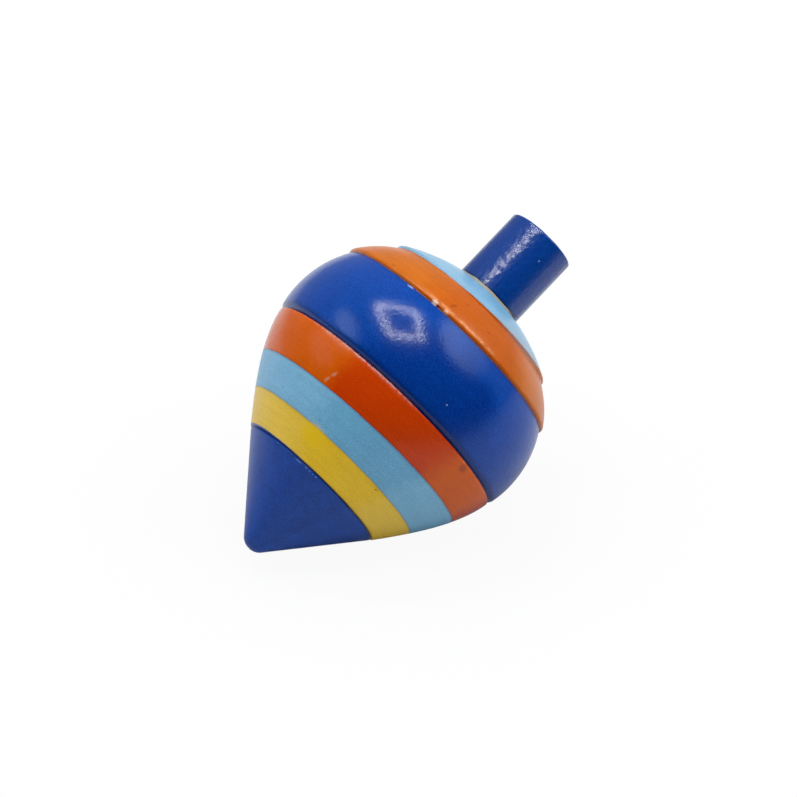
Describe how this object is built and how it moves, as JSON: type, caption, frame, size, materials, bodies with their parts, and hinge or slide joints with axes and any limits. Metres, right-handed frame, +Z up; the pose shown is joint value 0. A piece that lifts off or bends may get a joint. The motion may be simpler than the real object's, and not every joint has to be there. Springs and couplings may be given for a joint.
{
  "type": "wooden spinning top",
  "caption": "Hand-twirled spinning top lying on its side: a turned teardrop body painted in bands, with a blunt cone tip, and a dowel stem glued into its crown.",
  "frame": {"origin": "on the surface that the top lies on, below the middle of its box", "axes": "+Z up from that surface, +X along the lying top from its tip towards its stem, which points up at about 32 degrees, +Y across it"},
  "size_m": [0.0512, 0.0386, 0.0383],
  "materials": {
    "banded_paint": "semi-gloss enamel on turned wood, in bands: dark blue cone, yellow, light blue and orange, dark blue belly, orange bead, light blue crown",
    "stem_paint": "semi-gloss dark blue enamel on a wooden dowel"
  },
  "bodies": {
    "root": {"turned_body": "banded_paint", "stem_dowel": "stem_paint"}
  },
  "joints": []
}
